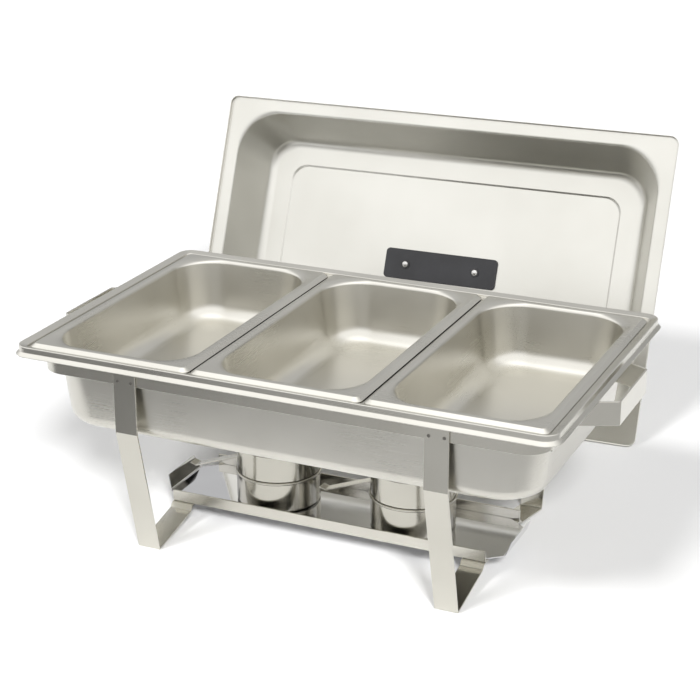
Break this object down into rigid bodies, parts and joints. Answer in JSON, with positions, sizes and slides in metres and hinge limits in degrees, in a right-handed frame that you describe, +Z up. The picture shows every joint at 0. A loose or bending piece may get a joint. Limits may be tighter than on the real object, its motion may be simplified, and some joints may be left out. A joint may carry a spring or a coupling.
{
  "type": "chafing dish",
  "caption": "Rectangular fuel-heated chafing dish: strip-steel stand, water pan, food pans side by side, fuel tray with covered burners, and a lid standing behind.",
  "frame": {"origin": "on the table, under the centre of the box round the whole set", "axes": "+Z up, +X along the long side of the stand, -Y towards the person serving; the lid stands on the +Y side"},
  "size_m": [0.6478, 0.6698, 0.3319],
  "materials": {
    "satin_steel": "satin brushed stainless steel",
    "strip_steel": "bright rolled stainless strip",
    "mirror_steel": "mirror polished stainless steel",
    "screw_steel": "bright plated fasteners",
    "tinplate": "plain tinplate",
    "black_plastic": "matt black heat-resistant plastic"
  },
  "bodies": {
    "stand": {"front_band": "strip_steel", "back_band": "strip_steel", "side_handle_left": "strip_steel", "side_handle_right": "strip_steel", "leg_front_left": "strip_steel", "leg_front_right": "strip_steel", "leg_back_left": "strip_steel", "leg_back_right": "strip_steel", "front_rail": "strip_steel", "back_rail": "strip_steel", "leg_rivet_front_left_1": "screw_steel", "leg_rivet_front_left_2": "screw_steel", "leg_rivet_front_right_1": "screw_steel", "leg_rivet_front_right_2": "screw_steel", "leg_rivet_back_left_1": "screw_steel", "leg_rivet_back_left_2": "screw_steel", "leg_rivet_back_right_1": "screw_steel", "leg_rivet_back_right_2": "screw_steel"},
    "water_pan": {"water_pan": "satin_steel"},
    "food_pan_left": {"food_pan_left": "satin_steel"},
    "food_pan_middle": {"food_pan_middle": "satin_steel"},
    "food_pan_right": {"food_pan_right": "satin_steel"},
    "fuel_tray": {"fuel_tray": "mirror_steel"},
    "burner_left": {"burner_left_cup": "mirror_steel", "burner_left_fuel_can": "tinplate"},
    "burner_left_cover": {"burner_left_cover": "mirror_steel", "burner_left_handle": "strip_steel", "burner_left_handle_rivet": "screw_steel", "burner_left_shutter_rivet": "screw_steel"},
    "burner_left_shutter": {"burner_left_shutter": "mirror_steel"},
    "burner_right": {"burner_right_cup": "mirror_steel", "burner_right_fuel_can": "tinplate"},
    "burner_right_cover": {"burner_right_cover": "mirror_steel", "burner_right_handle": "strip_steel", "burner_right_handle_rivet": "screw_steel", "burner_right_shutter_rivet": "screw_steel"},
    "burner_right_shutter": {"burner_right_shutter": "mirror_steel"},
    "lid": {"lid_shell": "satin_steel", "lid_handle": "black_plastic", "lid_inner_plate": "black_plastic", "lid_screw_1": "screw_steel", "lid_screw_2": "screw_steel", "lid_washer_1": "black_plastic", "lid_washer_2": "black_plastic"}
  },
  "joints": [
    {"name": "water_pan_lift", "type": "slide", "parent": "stand", "child": "water_pan", "axis": [0, 0, 1], "range_m": [0, 0.1]},
    {"name": "food_pan_left_lift", "type": "slide", "parent": "water_pan", "child": "food_pan_left", "axis": [0, 0, 1], "range_m": [0, 0.08]},
    {"name": "food_pan_middle_lift", "type": "slide", "parent": "water_pan", "child": "food_pan_middle", "axis": [0, 0, 1], "range_m": [0, 0.08]},
    {"name": "food_pan_right_lift", "type": "slide", "parent": "water_pan", "child": "food_pan_right", "axis": [0, 0, 1], "range_m": [0, 0.08]},
    {"name": "fuel_tray_slide", "type": "slide", "parent": "stand", "child": "fuel_tray", "axis": [1, 0, 0], "range_m": [-0.2, 0.2]},
    {"name": "burner_left_slide", "type": "slide", "parent": "fuel_tray", "child": "burner_left", "axis": [-1, 0, 0], "range_m": [0, 0.06]},
    {"name": "burner_left_cover_turn", "type": "hinge", "parent": "burner_left", "child": "burner_left_cover", "pos_m": [-0.04788, -0.15884, 0.07], "axis": [0, 0, 1], "range_deg": [-90, 90]},
    {"name": "burner_left_shutter_swing", "type": "hinge", "parent": "burner_left_cover", "child": "burner_left_shutter", "pos_m": [-0.04788, -0.12584, 0.085], "axis": [0, 0, 1], "range_deg": [0, 90]},
    {"name": "burner_right_slide", "type": "slide", "parent": "fuel_tray", "child": "burner_right", "axis": [1, 0, 0], "range_m": [0, 0.06]},
    {"name": "burner_right_cover_turn", "type": "hinge", "parent": "burner_right", "child": "burner_right_cover", "pos_m": [0.10312, -0.15884, 0.07], "axis": [0, 0, 1], "range_deg": [-90, 90]},
    {"name": "burner_right_shutter_swing", "type": "hinge", "parent": "burner_right_cover", "child": "burner_right_shutter", "pos_m": [0.10312, -0.12584, 0.085], "axis": [0, 0, 1], "range_deg": [0, 90]},
    {"name": "lid_lift", "type": "slide", "parent": "stand", "child": "lid", "axis": [0, 0, 1], "range_m": [0, 0.25]}
  ]
}
